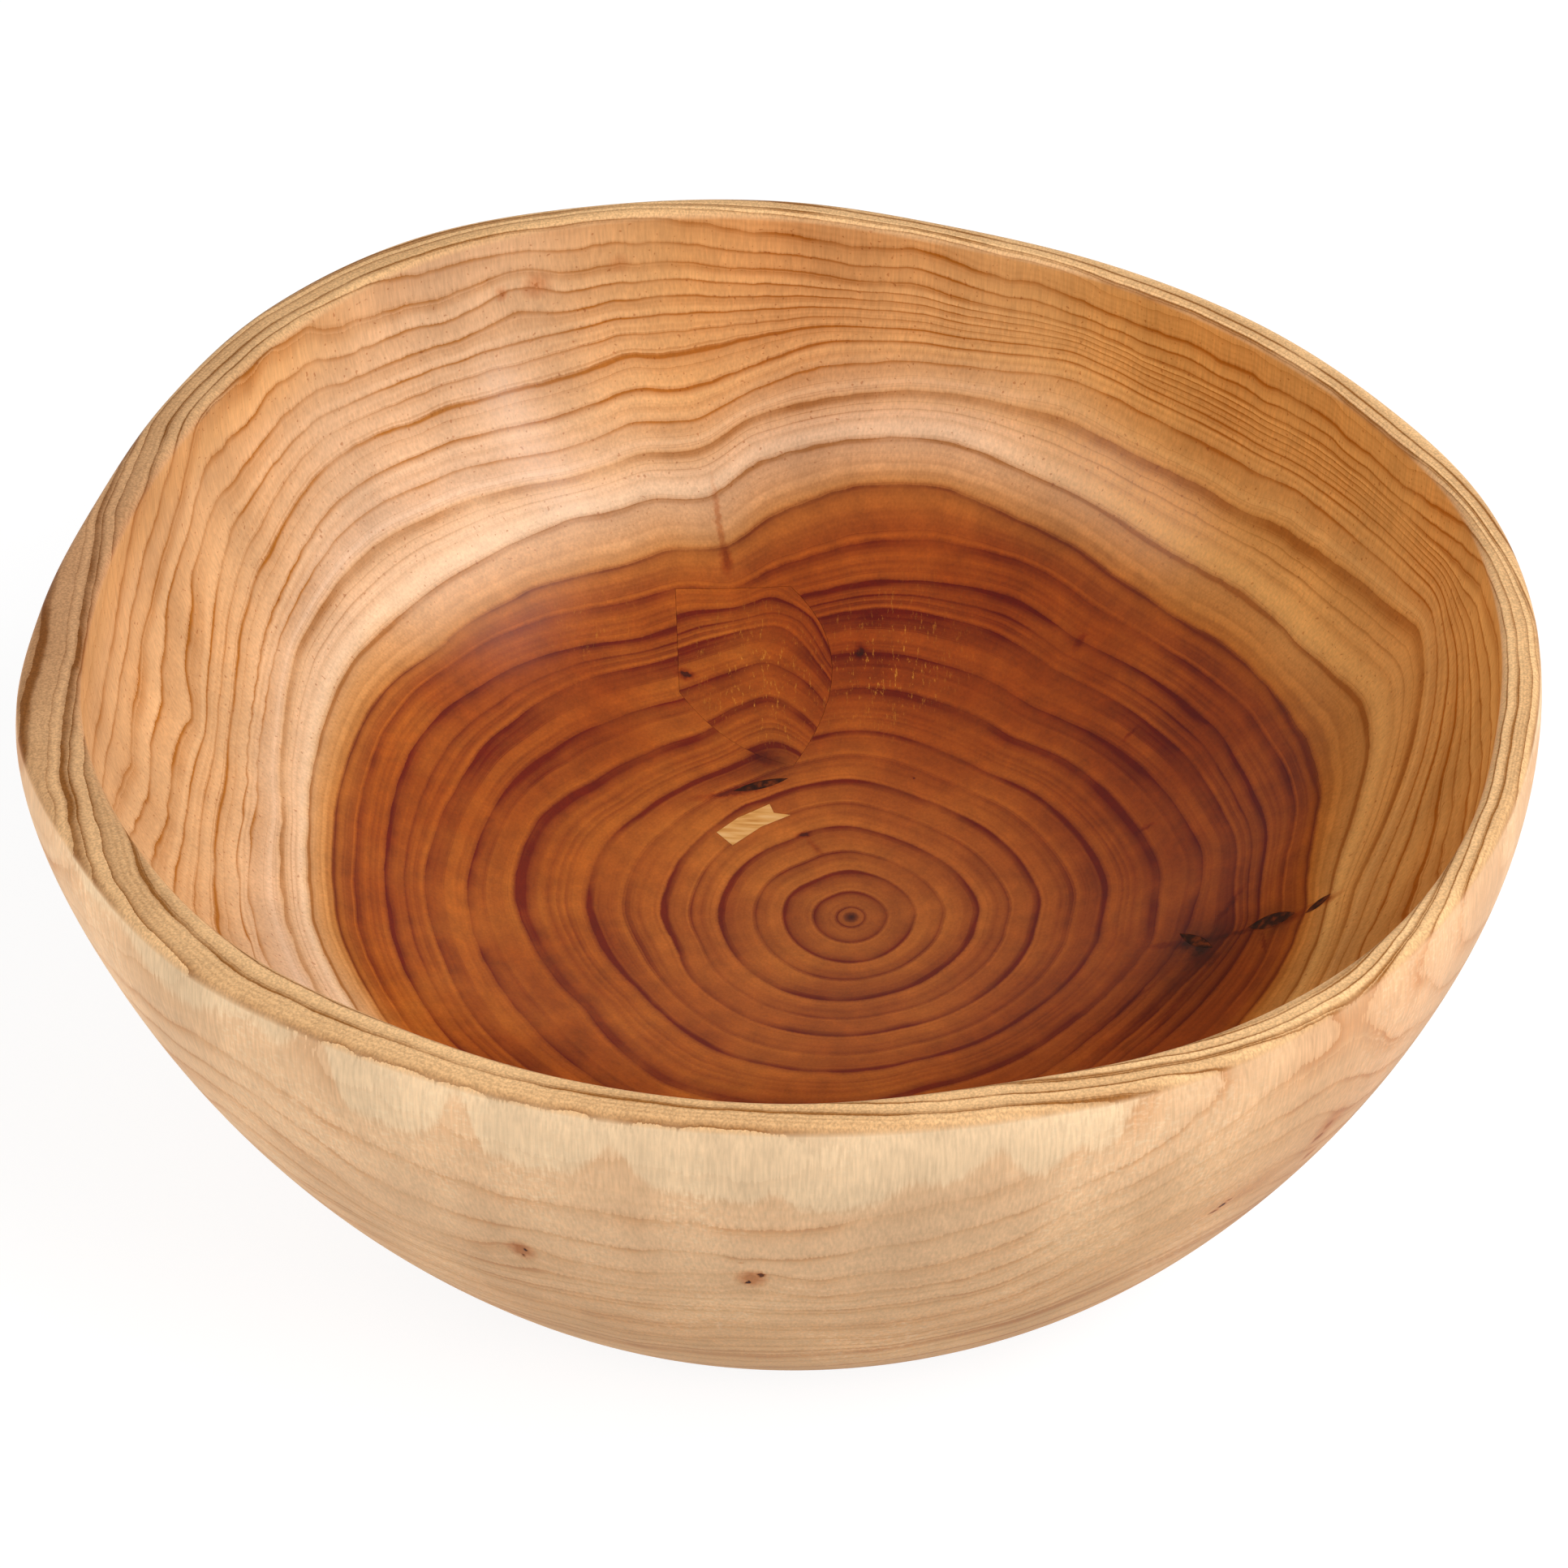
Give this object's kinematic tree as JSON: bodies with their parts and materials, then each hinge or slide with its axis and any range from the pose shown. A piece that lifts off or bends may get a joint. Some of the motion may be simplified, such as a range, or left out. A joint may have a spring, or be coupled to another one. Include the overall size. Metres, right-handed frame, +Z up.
{
  "type": "dough bowl",
  "caption": "Round carved wooden bowl with a lobed natural rim and a flat foot, its hollow repaired with let-in wood patches and dark check filler; holds dough or fruit.",
  "frame": {"origin": "middle of the footprint, on the surface that the foot rests on", "axes": "+Z up along the trunk's axis, +X to the right and -Y towards the front as pictured"},
  "size_m": [0.3304, 0.3399, 0.13],
  "materials": {
    "wood": "satin lacquer over end grain, red-brown heart and pale sapwood",
    "patch_wood": "satin lacquer over heartwood",
    "sliver_wood": "satin lacquer over pale wood",
    "filler": "dark resin and bark fill, satin"
  },
  "bodies": {
    "root": {"bowl_body": "wood", "wedge_patch": "patch_wood", "sliver_patch": "sliver_wood", "toe_filler": "filler", "inner_check_filler": "filler", "middle_check_filler": "filler", "outer_check_filler": "filler"}
  },
  "joints": []
}
